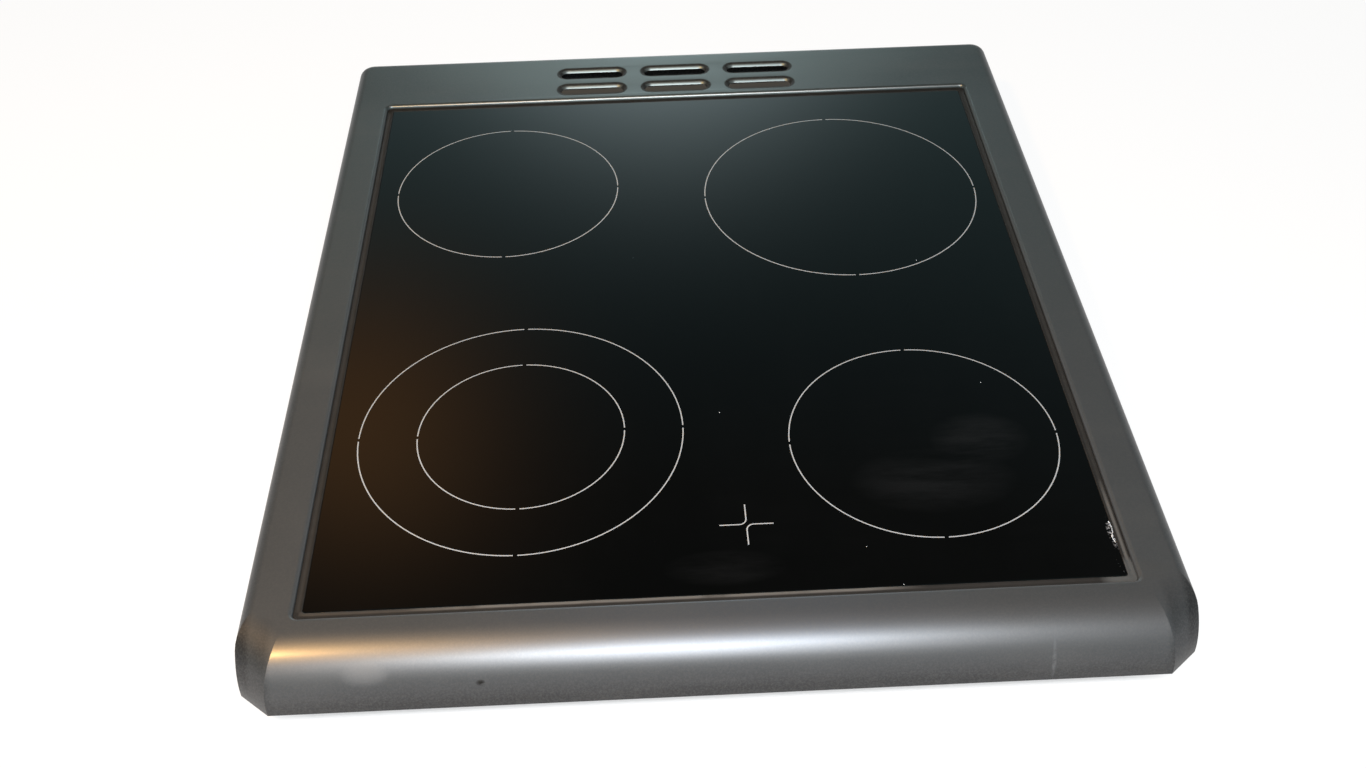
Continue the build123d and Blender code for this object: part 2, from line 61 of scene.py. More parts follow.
GLASS_LOW, GLASS_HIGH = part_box("ceramic_glass")
GLASS_TOP = GLASS_HIGH.z
GLASS_MIDDLE = (GLASS_LOW + GLASS_HIGH) / 2
GLASS_HALF = (GLASS_HIGH - GLASS_LOW) / 2
JOINT_LOW, JOINT_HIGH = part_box("glass_sealant")
JOINT_HALF = (JOINT_HIGH - JOINT_LOW) / 2
HEATERS = ("rear_left", "rear_right", "front_left", "front_right")
VENT_ROWS = (0.25065, 0.27415)
VENT_PITCH = 0.0651
VENT_STRAIGHT = 0.0188         # from the middle of a vent to where its round end starts
VENT_LIP = (0.0045, 0.0086)    # from a vent's middle line to its lip's inner and outer edge
NOSE_Y = -0.270                # in front of this the top turns down into the nose
NOSE_FOOT_Z = 0.036            # below this the nose leans back under itself
NOSE_END_X = 0.2315            # outside this are the nose's bevelled corners
SIDE_ROLL_X = 0.2435           # outside this the top turns down at each side
FRONT_RAIL_Y = (-0.290, -0.256)
REAR_RAIL_Y = 0.235
SKIRT_INSIDE_Y = (0.2990, 0.3024)
RECESS_RIM_Z = (0.0530, 0.0545)


def middle_of(node):
    low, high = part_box(node)
    return (low + high) / 2


# ---- shader helpers ---------------------------------------------------------------------

WHITE = (1.0, 1.0, 1.0)
MIX_FROM, MIX_TO, MIX_RESULT = 6, 7, 2     # colour sockets of a Mix node
INPUT_NAMES = {"Ior": "IOR", "Specular": "Specular IOR Level"}


class Wire:
    """A shader output that takes part in Python arithmetic by adding Math nodes."""

    def __init__(self, finish, socket):
        self.finish = finish
        self.socket = socket

    def math(self, operation, *others, clamp=False):
        settings = {"operation": operation, "use_clamp": clamp}
        return self.finish.node("ShaderNodeMath", settings, dict(enumerate((self, *others))))[0]

    def __add__(self, other):
        return self.math("ADD", other)

    def __sub__(self, other):
        return self.math("SUBTRACT", other)

    def __mul__(self, other):
        return self.math("MULTIPLY", other)

    def __truediv__(self, other):
        return self.math("DIVIDE", other)

    def __pow__(self, other):
        return self.math("POWER", other)

    def __neg__(self):
        return self * -1.0

    def __abs__(self):
        return self.math("ABSOLUTE")

    def __rsub__(self, other):
        return -self + other

    __radd__ = __add__
    __rmul__ = __mul__

    def clamped(self):
        return self.math("ADD", 0.0, clamp=True)

    def above(self, edge, soft):
        """0 below the edge and 1 above it, changing over a soft band."""
        return ((self - edge) / soft + 0.5).clamped()

    def below(self, edge, soft):
        """1 below the edge and 0 above it."""
        return 1.0 - self.above(edge, soft)

    def between(self, low, high, soft):
        return self.above(low, soft) * self.below(high, soft)


class Node:
    """A node just made, whose outputs are taken by name or by number."""

    def __init__(self, finish, made):
        self.finish = finish
        self.made = made

    def __getitem__(self, name):
        return Wire(self.finish, self.made.outputs[name])


class Finish:
    """A material, or the world, whose nodes are made by one method."""

    def __init__(self, name, owner=None):
        self.owner = owner or bpy.data.materials.new(name)
        self.owner.use_nodes = True
        self.tree = self.owner.node_tree
        self.tree.nodes.clear()

    def node(self, kind, settings=None, inputs=None):
        """Makes a node: first its settings, then the values or links of its sockets."""
        made = self.tree.nodes.new(kind)
        for key, value in (settings or {}).items():
            if key == "stops":
                self.set_stops(made.color_ramp, value)
            else:
                setattr(made, key, value)
        for name, value in (inputs or {}).items():
            socket = made.inputs[name]
            if isinstance(value, Wire):
                self.tree.links.new(value.socket, socket)
            elif socket.type == "RGBA":
                socket.default_value = (*value, 1.0)
            else:
                socket.default_value = value
        return Node(self, made)

    @staticmethod
    def set_stops(ramp, stops):
        while len(ramp.elements) < len(stops):
            ramp.elements.new(0.5)
        for element, (place, colour) in zip(ramp.elements, stops):
            element.position = place
            element.color = (*colour, 1.0)

    def place(self):
        return self.node("ShaderNodeTexCoord")["Object"]

    def axes(self):
        parts = self.node("ShaderNodeSeparateXYZ", None, {0: self.place()})
        return parts["X"], parts["Y"], parts["Z"]

    def stretched(self, scale):
        mapping = {"Vector": self.place(), "Scale": scale}
        return self.node("ShaderNodeMapping", None, mapping)["Vector"]

    def noise(self, scale, detail=4.0, roughness=0.5, vector=None):
        inputs = {
            "Vector": vector or self.place(),
            "Scale": scale,
            "Detail": detail,
            "Roughness": roughness,
        }
        return self.node("ShaderNodeTexNoise", None, inputs)["Fac"]

    def blend(self, factor, first, second):
        """The first colour where the factor is 0 and the second where it is 1."""
        inputs = {0: factor, MIX_FROM: first, MIX_TO: second}
        return self.node("ShaderNodeMix", {"data_type": "RGBA"}, inputs)[MIX_RESULT]

    def layered(self, tone, *layers):
        """Lays colours over a tone, each by its own mask."""
        for mask, colour in layers:
            tone = self.blend(mask, tone, colour)
        return tone

    def mixed(self, factor, first, second):
        """The first shader where the factor is 0 and the second where it is 1."""
        return self.node("ShaderNodeMixShader", None, {0: factor, 1: first, 2: second})["Shader"]

    def facing(self, direction, aim):
        """Cosine of the angle between a direction and an aim."""
        inputs = {0: direction, 1: Vector(aim).normalized()}
        return self.node("ShaderNodeVectorMath", {"operation": "DOT_PRODUCT"}, inputs)["Value"]

    def bump(self, height, strength, distance):
        inputs = {"Height": height, "Strength": strength, "Distance": distance}
        return self.node("ShaderNodeBump", None, inputs)["Normal"]

    def surface(self, **inputs):
        named = {}
        for name, value in inputs.items():
            title = name.replace("_", " ").title()
            named[INPUT_NAMES.get(title, title)] = value
        shader = self.node("ShaderNodeBsdfPrincipled", None, named)["BSDF"]
        self.node("ShaderNodeOutputMaterial", None, {"Surface": shader})
        return self.owner


# ---- finishes of the pieces in view -----------------------------------------------------


def spot(x, y, middle, reach):
    """Soft oval given in millimetres, 1 in its middle and 0 from its rim outwards."""
    across = (x - middle[0] * MM) / (reach[0] * MM)
    along = (y - middle[1] * MM) / (reach[1] * MM)
    return (1.0 - (across * across + along * along)).clamped()


def lip_shade(x, y, row):
    """Painted shade: 1 on the rolled-in lips of a row of vents, but 0 low on the lip that faces
    the front, where it catches the lamp.
    """
    column = abs(x).math("MINIMUM", abs(abs(x) - VENT_PITCH))
    across = (column - VENT_STRAIGHT).math("MAXIMUM", 0.0)
    along = y - row
    away = (across * across + along * along) ** 0.5
    lip = away.between(*VENT_LIP, 0.0009)
    bare = along.above(0.0040, 0.0015) * away.below(0.0064, 0.0008)
    return lip * (1.0 - bare)


def lacquered_steel():
    """Silver-grey lacquered sheet: fine grain, soft mottle, haze and wear on the nose, with
    painted shade and painted reflections and highlights laid over it.
    """
    f = Finish("lacquered_steel")
    x, y, z = f.axes()
    grain = f.noise(2600.0, 2.0)
    fleck = f.noise(900.0, 3.0, 0.7)
    mottle = f.noise(9.0, 5.0, 0.6)
    haze = f.noise(26.0, 3.0, 0.6, f.stretched((0.25, 1.0, 1.0)))
    ragged = f.noise(420.0, 4.0, 0.7)
    nose = (NOSE_Y - y).above(0.0, 0.02)
    thumb = spot(x, z, (-182.0, 43.5), (13.0, 5.0)) * nose
    rub = spot(x, z, (171.0, 36.0), (1.3, 11.0)) * ragged.above(0.46, 0.3) * nose
    nick = spot(x, z, (-123.5, 38.6), (2.8, 1.6)) * ragged.above(0.45, 0.1) * nose
    grime = spot(x, y, (218.0, -256.0), (24.0, 9.0)) * haze.above(0.40, 0.3)
    # painted shade: the nose darker low down, where it turns under
    foot = (NOSE_FOOT_Z - z).above(0.0, 0.014) * nose
    # painted shade: the bevelled nose ends darker
    ends = (abs(x) - NOSE_END_X).above(0.0, 0.004) * nose
    # painted shade on the rolled-in lips of the vents
    lips = (lip_shade(x, y, VENT_ROWS[0]) + lip_shade(x, y, VENT_ROWS[1])).clamped()
    # painted reflection: a pale teal patch on the middle of the rear, standing in for a bright
    # wall reflected there
    painted_rear_reflection = spot(x, y, (0.0, 296.0), (215.0, 80.0))
    # painted reflection: a darker teal cast over the rear half
    rear_half = y.above(0.10, 0.40)
    # painted light: a cooler cast on the middle of the front rail, set against the warm lamp
    front_rail = y.between(*FRONT_RAIL_Y, 0.010) * abs(x).below(0.10, 0.10)
    # painted shade: the inner face of the rear skirt, where the vents look onto it, near black
    inside = y.between(*SKIRT_INSIDE_Y, 0.0005) * (0.047 - z).above(0.0, 0.002)
    # painted shade: the rear rail darker
    rear_rail = y.above(REAR_RAIL_Y, 0.04)
    polished = nose * x.below(-0.21, 0.09) * 0.4
    # a painted highlight along the rear edge of the recess, weaker towards its corners
    rim = (y - JOINT_HIGH.y).between(-0.0008, 0.0008, 0.0003) * z.between(*RECESS_RIM_Z, 0.0004)
    rim = rim * abs(x).below(JOINT_HIGH.x - 0.001, 0.0004)
    rim = rim * (1.0 - abs(x).above(0.14, 0.14) * 0.6)
    # painted shade: the side rolls darker
    sides = (abs(x) - SIDE_ROLL_X).above(0.0, 0.004)
    tone = f.blend(mottle, (0.067, 0.0725, 0.078), (0.081, 0.0875, 0.094))
    tone = f.layered(
        tone,
        (rear_half * 0.8, (0.052, 0.077, 0.082)),
        (painted_rear_reflection * 0.75, (0.148, 0.188, 0.190)),
        (front_rail * 0.8, (0.080, 0.091, 0.107)),
        (inside, (0.014, 0.014, 0.015)),
        (rear_rail * 0.21, (0.0, 0.0, 0.0)),
        (rim, (0.36, 0.39, 0.40)),
        (foot * 0.75, (0.020, 0.020, 0.021)),
        ((ends * 0.55 + sides * 0.6).clamped(), (0.020, 0.021, 0.023)),
        (lips * 0.9, (0.008, 0.008, 0.008)),
        (fleck.above(0.55, 0.3) * 0.40, (0.105, 0.107, 0.108)),
        (haze.above(0.62, 0.2) * 0.22, (0.11, 0.112, 0.112)),
        ((thumb * 0.22 + rub * 0.6).clamped(), (0.15, 0.16, 0.17)),
        (nick, (0.012, 0.011, 0.010)),
        (grime * 0.6, (0.055, 0.052, 0.046)),
    )
    rough = 0.34 + mottle * 0.07 + haze * 0.05 + thumb * 0.15 + grime * 0.2 + lips * 0.2
    return f.surface(
        base_color=tone,
        metallic=0.65,
        roughness=rough,
        normal=f.bump(grain, 0.05, 0.00004),
        coat_weight=polished,
        coat_roughness=0.2,
    )


def black_glass():
    """Glass-ceramic: black and polished, with dried smears and a chipped front edge."""
    f = Finish("black_glass_ceramic")
    x, y, _ = f.axes()
    wipe = f.noise(55.0, 4.0, 0.65, f.stretched((0.30, 1.5, 1.0)))
    film = f.noise(7.0, 5.0, 0.65, f.stretched((1.0, 0.45, 1.0)))
    grit = f.noise(1500.0, 2.0, 0.6)
    smears = (
        ((159.0, -150.0), (30.0, 22.0), 0.55),
        ((127.0, -182.0), (48.0, 26.0), 0.45),
        ((5.0, -240.0), (34.0, 13.0), 0.35),
    )
    haze = film.above(0.60, 0.22) * wipe * 0.10
    for middle, reach, amount in smears:
        haze = haze + spot(x, y, middle, reach) * wipe.above(0.46, 0.34) * amount
    haze = haze.clamped()
    dust = grit.above(0.78, 0.03) * 0.25
    chip = spot(x, y, (216.5, -227.0), (3.0, 13.0)) * f.noise(330.0, 3.0, 0.7).above(0.54, 0.10)
    tone = f.blend(haze * 0.45, (0.0007, 0.0008, 0.0008), (0.016, 0.017, 0.019))
    tone = f.layered(tone, (dust, (0.03, 0.03, 0.03)), (chip, (0.26, 0.27, 0.29)))
    rough = 0.045 + haze * 0.22 + chip * 0.4
    return f.surface(base_color=tone, roughness=rough, ior=1.5)


def silicone_joint():
    """Black silicone, dusty and paler along the glass, the pale band partly a painted highlight,
    smeared at one front corner.
    """
    f = Finish("silicone_joint")
    x, y, _ = f.axes()
    beside = abs(x) - GLASS_HALF.x
    before = abs(y - GLASS_MIDDLE.y) - GLASS_HALF.y
    out = beside.math("MAXIMUM", before)
    lumps = f.noise(150.0, 4.0, 0.65)
    dirt = f.noise(34.0, 4.0, 0.6)
    front = (GLASS_LOW.y - y).above(-0.001, 0.001)
    rear = (y - GLASS_HIGH.y).above(-0.001, 0.001)
    corner = (spot(x, y, (222.0, -235.0), (22.0, 50.0)) * 1.5).clamped()
    beside_glass = out.between(-0.001, 0.0016, 0.0009) * front * x.below(0.095, 0.03)
    middle = out.between(0.0014, 0.0032, 0.0009) * (1.0 - front) * (1.0 - rear)
    beside_glass = beside_glass * (x.above(-0.152, 0.022) * 0.8 + 0.2)
    # pale: partly dust, partly a painted highlight along the bead
    pale = beside_glass * dirt.above(0.32, 0.30) * 0.5 + middle * (corner * 0.4 + 0.06)
    smear = (spot(x, y, (221.0, -258.0), (20.0, 14.0)) * 1.8).clamped()
    tone = f.blend(lumps, (0.008, 0.008, 0.008), (0.017, 0.016, 0.015))
    tone = f.layered(
        tone, (pale.clamped(), (0.125, 0.124, 0.120)), (smear * 0.85, (0.048, 0.051, 0.052))
    )
    rough = 0.42 + dirt * 0.18 + smear * 0.2
    normal = f.bump(lumps, 0.35, 0.0002)
    return f.surface(base_color=tone, roughness=rough, normal=normal, specular=0.18)


def ring_ink():
    """Grey ceramic ink, a little uneven."""
    f = Finish("ring_ink")
    worn = f.noise(190.0, 4.0, 0.6)
    tone = f.blend(worn, (0.23, 0.25, 0.27), (0.28, 0.30, 0.32))
    rough = 0.42 + worn * 0.15
    return f.surface(base_color=tone, roughness=rough)


# ---- finishes of what hangs below --------------------------------------------------------


def plain(name, colour, darker, roughness, metallic=0.0, scale=60.0, relief=0.0001):
    """Plain sheet, board or moulding with a little mottle and surface grain."""
    f = Finish(name)
    mottle = f.noise(scale, 5.0, 0.6)
    grain = f.noise(scale * 18, 3.0)
    tone = f.blend(mottle, darker, colour)
    rough = roughness - 0.06 + mottle * 0.12
    normal = f.bump(grain, 0.25, relief)
    return f.surface(base_color=tone, metallic=metallic, roughness=rough, normal=normal)


def spangled_zinc(name, colour, darker, roughness):
    """Galvanised sheet with crystal spangle and rolling lines."""
    f = Finish(name)
    settings = {"feature": "F1"}
    cells = f.node("ShaderNodeTexVoronoi", settings, {"Vector": f.place(), "Scale": 150.0})
    spangle = f.node("ShaderNodeSeparateXYZ", None, {0: cells["Color"]})["X"]
    rolled = f.noise(500.0, 2.0, 0.5, f.stretched((0.03, 1.0, 1.0)))
    tone = f.blend(spangle * 0.6 + rolled * 0.3, darker, colour)
    rough = roughness - 0.05 + spangle * 0.14
    normal = f.bump(rolled, 0.15, 0.00005)
    return f.surface(base_color=tone, metallic=0.9, roughness=rough, normal=normal)


TURNING = 5200.0               # turning lines, in radians to the metre
PAN_RINGS = ((0.030, 0.034), (0.056, 0.060))
HEAT_DEPTH = 0.012             # how far below the rim the heat tint starts


def heater_steel(name, middle):
    """Pressed aluminised pan: turning lines, pressed rings and heat tint near its rim."""
    f = Finish(name)
    x, y, z = f.axes()
    away = ((x - middle.x) ** 2.0 + (y - middle.y) ** 2.0) ** 0.5
    lines = (away * TURNING).math("SINE")
    rings = away.between(*PAN_RINGS[0], 0.001) + away.between(*PAN_RINGS[1], 0.001)
    stain = f.noise(24.0, 5.0, 0.65)
    heat = (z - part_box(name)[1].z + HEAT_DEPTH).above(0.0, 0.012) * stain
    tone = f.blend(stain, (0.50, 0.50, 0.50), (0.68, 0.68, 0.67))
    tone = f.blend(heat * 0.8, tone, (0.42, 0.36, 0.28))
    rough = 0.30 + stain * 0.16
    normal = f.bump(rings * 3.0 + lines * 0.06, 0.6, 0.0004)
    return f.surface(base_color=tone, metallic=0.95, roughness=rough, normal=normal)


def scorched_alloy():
    """Oxidised heating ribbon, darker in blotches."""
    f = Finish("heating_alloy")
    oxide = f.noise(240.0, 4.0, 0.6)
    scale = f.noise(3000.0, 2.0)
    tone = f.blend(oxide, (0.075, 0.068, 0.064), (0.23, 0.20, 0.18))
    rough = 0.45 + oxide * 0.25
    normal = f.bump(scale, 0.3, 0.00003)
    return f.surface(base_color=tone, metallic=0.8, roughness=rough, normal=normal)


FINISHES = {
    "surround_steel": lacquered_steel(),
    "glass_ceramic": black_glass(),
    "silicone": silicone_joint(),
    "zinc_steel": spangled_zinc("zinc_steel", (0.66, 0.67, 0.69), (0.40, 0.41, 0.43), 0.36),
    "spring_steel": plain("spring_steel", (0.36, 0.35, 0.34), (0.20, 0.19, 0.19), 0.35, 1.0),
    "screw_steel": plain("screw_steel", (0.66, 0.65, 0.60), (0.45, 0.44, 0.40), 0.33, 1.0),
    "white_plastic": plain("white_plastic", (0.80, 0.79, 0.75), (0.68, 0.67, 0.63), 0.5),
    "lamp_glass": plain("lamp_glass", (0.80, 0.22, 0.10), (0.60, 0.12, 0.05), 0.2),
    "diffuser_plastic": plain("diffuser", (0.84, 0.80, 0.76), (0.74, 0.70, 0.66), 0.4),
    "insulation_board": plain(
        "insulation_board", (0.80, 0.77, 0.70), (0.66, 0.62, 0.55), 0.92, 0.0, 90.0, 0.0006
    ),
    "insulation_fibre": plain(
        "insulation_fibre", (0.86, 0.84, 0.79), (0.74, 0.71, 0.65), 0.92, 0.0, 120.0, 0.0006
    ),
    "heating_alloy": scorched_alloy(),
    "rod_quartz": plain("rod_quartz", (0.80, 0.80, 0.78), (0.68, 0.68, 0.66), 0.25),
    "switch_ceramic": plain("switch_ceramic", (0.80, 0.77, 0.70), (0.70, 0.66, 0.58), 0.6),
    "terminal_ceramic": plain("terminal_ceramic", (0.84, 0.82, 0.77), (0.74, 0.71, 0.65), 0.55),
}
INK = ring_ink()
slot_of = {part["node"]: part["material_slot"] for part in frame["record"]["subparts"]}
# each pan has its own, because its turning lines run round its own middle
PAN_FINISHES = {
    f"{name}_pan": heater_steel(f"{name}_pan", middle_of(f"{name}_insulation_base"))
    for name in HEATERS
}


def finish_of(node):
    if slot_of[node] == "pan_steel":
        return PAN_FINISHES[node]
    return FINISHES[slot_of[node]]


for name, node in nodes.items():
    node.data.materials.clear()
    node.data.materials.append(finish_of(name))

# ---- making pieces ------------------------------------------------------------------------


def placed(name, data):
    """A new object in the scene."""
    made = bpy.data.objects.new(name, data)
    bpy.context.scene.collection.objects.link(made)
    return made


def finished(name, mesh, finish, body=HOB, smooth=True):
    """Turns a bmesh into a piece that rides on a body."""
    data = bpy.data.meshes.new(name)
    mesh.to_mesh(data)
    mesh.free()
    piece = placed(name, data)
    data.materials.append(finish)
    if smooth:
        data.shade_smooth()
    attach(piece, body)
    return piece


def body_of(node):
    """A heater's parts ride on the heater, and its spring stays on the hob."""
    for name in HEATERS:
        if node.startswith(name) and not node.endswith("_spring"):
            return f"{name}_heater"
    return HOB


ROUND_ANGLE = 32.0             # degrees between two faces that still shade as one curve
SPRING_ANGLE = 20.0            # a spring keeps gentler bends sharp, too
LEVEL = 0.001                  # a normal's share along an axis that it is square to
TILT = 0.02                    # and along one that it leans to
WELD = 1e-6


def pressed_crease(edge):
    """True where one of the bevelled front corners meets the nose or the side roll."""
    one, other = (face.normal for face in edge.link_faces)
    for straight, bevelled in ((one, other), (other, one)):
        nose = abs(straight.x) < LEVEL and straight.y < -TILT
        side = abs(straight.y) < LEVEL and abs(straight.x) > TILT
        if nose and abs(bevelled.x) > TILT:
            return True
        if side and bevelled.y < -TILT:
            return True
    return False


def flats_first(piece):
    """Lets the large flats keep their own normals, so that only the rolls shade round."""
    weighted = piece.modifiers.new("flats_first", "WEIGHTED_NORMAL")
    weighted.mode = "FACE_AREA_WITH_ANGLE"
    weighted.keep_sharp = True
    bpy.context.view_layer.objects.active = piece
    bpy.ops.object.modifier_apply(modifier=weighted.name)


def smoothed_copy(node, angle, crease=None):
    """A merged copy of a solid's mesh, shaded round except at its sharper edges."""
    mesh = bmesh.new()
    mesh.from_mesh(nodes[node].data)
    bmesh.ops.remove_doubles(mesh, verts=mesh.verts, dist=WELD)
    limit = math.radians(angle)
    for edge in mesh.edges:
        edge.smooth = len(edge.link_faces) == 2 and edge.calc_face_angle(0.0) < limit
        if crease and edge.smooth and crease(edge):
            edge.smooth = False
    piece = finished(node + "_skin", mesh, finish_of(node), body_of(node))
    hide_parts(node)
    return piece


flats_first(smoothed_copy("hob_surround", ROUND_ANGLE, pressed_crease))
for name in HEATERS:
    for part in ("pan", "insulation_base", "insulation_ring", "limiter_rod"):
        smoothed_copy(f"{name}_{part}", ROUND_ANGLE)
smoothed_copy("front_left_partition_ring", ROUND_ANGLE)

# ---- springs, each with a mesh of its own, and their rivets -------------------------------------

for name in HEATERS:
    spring = smoothed_copy(f"{name}_spring", SPRING_ANGLE)
    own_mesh(spring)


def domed_head(mesh, place, radius, height):
    """A low rivet head standing on a flat face."""
    made = bmesh.ops.create_uvsphere(mesh, u_segments=24, v_segments=12, radius=radius)["verts"]
    bmesh.ops.scale(mesh, vec=(1.0, 1.0, height / radius), verts=made)
    whole = [*made, *{edge for vert in made for edge in vert.link_edges}]
    whole += list({face for vert in made for face in vert.link_faces})
    cut = bmesh.ops.bisect_plane(
        mesh, geom=whole, plane_co=(0, 0, 0), plane_no=(0, 0, 1), clear_inner=True
    )["geom_cut"]
    rim = [edge for edge in cut if isinstance(edge, bmesh.types.BMEdge)]
    bmesh.ops.edgeloop_fill(mesh, edges=rim)
    near = [vert for vert in mesh.verts if vert.co.length < radius * 1.01]
    bmesh.ops.translate(mesh, verts=near, vec=place)


RIVET_RADIUS = 2.4 * MM
RIVET_HEIGHT = 0.8 * MM
RIVET_SEAT = 0.5 * MM          # from a spring's foot up to the face under its rivet's head
mesh = bmesh.new()
for name in HEATERS:
    seat = middle_of(f"{name}_spring")
    seat.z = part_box(f"{name}_spring")[0].z + RIVET_SEAT
    domed_head(mesh, seat, RIVET_RADIUS, RIVET_HEIGHT)
    bmesh.ops.recalc_face_normals(mesh, faces=mesh.faces)
finished("spring_rivets", mesh, FINISHES["screw_steel"])

# ---- silicone joint round the glass ---------------------------------------------------------

JOINT_CUTS = 90                # how finely the long sides may waver
JOINT_WAVER = 0.16 * MM
WAVER_SCALE = 55.0
WAVER_DEPTH = 0.3 * MM         # what lies further below the joint's top stays straight
GLASS_CORNER = 2.0             # corner radius in millimetres at the glass
RECESS_CORNER = 3.5            # and at the wall of the recess
# share of the gap from the glass outwards, and millimetres over the joint's own top
JOINT_SECTION = ((0.0, 0.40), (0.14, 0.52), (0.34, 0.10), (0.60, -0.10), (0.84, 0.08), (1.0, 0.22))


def rounded_outline(mesh, half_width, half_depth, radius, z):
    """A closed outline with rounded corners, lying flat round the middle of the glass."""
    made = bmesh.ops.create_grid(mesh, x_segments=1, y_segments=1, size=1.0)["verts"]
    bmesh.ops.scale(mesh, vec=(half_width, half_depth, 1.0), verts=made)
    bmesh.ops.translate(mesh, vec=(GLASS_MIDDLE.x, GLASS_MIDDLE.y, z), verts=made)
    bmesh.ops.bevel(
        mesh,
        geom=made,
        offset=radius,
        offset_type="OFFSET",
        affect="VERTICES",
        segments=5,
        profile=0.5,
        material=-1,
    )
    mesh.faces.ensure_lookup_table()
    sides = [edge for edge in mesh.faces[0].edges if edge.calc_length() > 10 * radius]
    bmesh.ops.subdivide_edges(mesh, edges=sides, cuts=JOINT_CUTS)
    mesh.faces.ensure_lookup_table()
    face = mesh.faces[0]
    edges = list(face.edges)
    bmesh.ops.delete(mesh, geom=[face], context="FACES_ONLY")
    return edges


def sealant_bead():
    """Hollow-tooled bead: high on the recess wall, lowest in its middle, up to the glass edge."""
    wide = JOINT_HALF - GLASS_HALF
    gap = (wide.x + wide.y) / 2
    section = [(share, JOINT_HIGH.z + rise * MM) for share, rise in JOINT_SECTION]
    section += [(1.0, JOINT_LOW.z), (0.0, JOINT_LOW.z)]
    mesh = bmesh.new()
    outlines = []
    for share, z in section:
        width = GLASS_HALF.x + share * gap
        depth = GLASS_HALF.y + share * gap
        corner = (GLASS_CORNER + (RECESS_CORNER - GLASS_CORNER) * share) * MM
        outlines.append(rounded_outline(mesh, width, depth, corner, z))
    for here, outline in enumerate(outlines):
        following = outlines[(here + 1) % len(outlines)]
        bmesh.ops.bridge_loops(mesh, edges=[*outline, *following])
    for vert in mesh.verts:
        if vert.co.z > JOINT_HIGH.z - WAVER_DEPTH:
            vert.co.z += noise.noise(vert.co * WAVER_SCALE) * JOINT_WAVER
    bmesh.ops.recalc_face_normals(mesh, faces=mesh.faces)
    bead = finished("sealant_bead", mesh, FINISHES["silicone"])
    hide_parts("glass_sealant")


sealant_bead()

# ---- flakes, lint and grit on the glass -----------------------------------------------------


def scattered(count, low, high, seed):
    """Places anywhere between two corners."""
    draw = random.Random(seed)
    return [[draw.uniform(a, b) for a, b in zip(low, high)] for _ in range(count)]


def crumbs(name, places, finish, size):
    """Small sharp grains lying on the glass, given their places and sizes in millimetres."""
    draw = random.Random(len(places))
    mesh = bmesh.new()
    for x, y in places:
        radius = draw.uniform(*size) * MM
        grain = bmesh.ops.create_icosphere(mesh, subdivisions=1, radius=radius)["verts"]
        for vert in grain:
            vert.co *= draw.uniform(0.6, 1.3)
            vert.co.z *= 0.5
        bmesh.ops.translate(mesh, verts=grain, vec=(x * MM, y * MM, GLASS_TOP))
    bmesh.ops.recalc_face_normals(mesh, faces=mesh.faces)
    finished(name, mesh, finish, smooth=False)


GLASS_FLAKE = plain("glass_flake", (0.62, 0.65, 0.68), (0.30, 0.32, 0.34), 0.3, 0.0, 400.0)
# places on the glass in millimetres
LINT = (
    (168.8, -102.8),
    (82.2, -229.6),
    (9.9, -119.4),
    (98.1, -257.0),
    (-38.0, 35.0),
    (150.0, 20.0),
)
CHIP_LINE = ((216.2, -219.0), (216.6, -223.0), (216.3, -227.0), (215.2, -231.0), (216.2, -235.0))
GRIT_AREA = ((213.5, -257.5), (220.5, -236.0))


def along_line(corners, count, wander, seed):
    """Places along a line through its corners, each a little off it."""
    draw = random.Random(seed)
    places = []
    for start, end in zip(corners, corners[1:]):
        for step in range(count):
            share = step / count
            on_line = [a + (b - a) * share for a, b in zip(start, end)]
            places.append([value + draw.uniform(-wander, wander) for value in on_line])
    return places


chipped = along_line(CHIP_LINE, count=9, wander=0.22, seed=4)
crumbs("glass_flakes", chipped, GLASS_FLAKE, (0.18, 0.42))
crumbs("lint", LINT, GLASS_FLAKE, (0.22, 0.38))
gritty = scattered(14, *GRIT_AREA, seed=9)
crumbs("edge_grit", gritty, FINISHES["silicone"], (0.15, 0.35))

# ---- printed rings and mark ---------------------------------------------------------------

INK_WIDTH = 0.7 * MM
INK_THICK = 0.03 * MM
RING_GAP = 2.4 * MM
RING_STEPS = 40
QUARTER = math.pi / 2
# name, and x, y and radius of the line in millimetres
RINGS = (
    ("rear_left_ring", -124.8, 119.7, 77.7),
    ("rear_right_ring", 109.0, 102.0, 94.9),
    ("front_left_ring", -107.2, -129.9, 94.9),
    ("front_left_inner_ring", -107.2, -129.9, 60.6),
    ("front_right_ring", 126.4, -147.7, 77.7),
)
MARK_PLACE = (18.9, -209.6)
MARK_ARM = 14.9                # from the middle of the mark to the end of a stroke
MARK_BEND = 4.0                # radius of the bend in a stroke
MARK_STEPS = 10


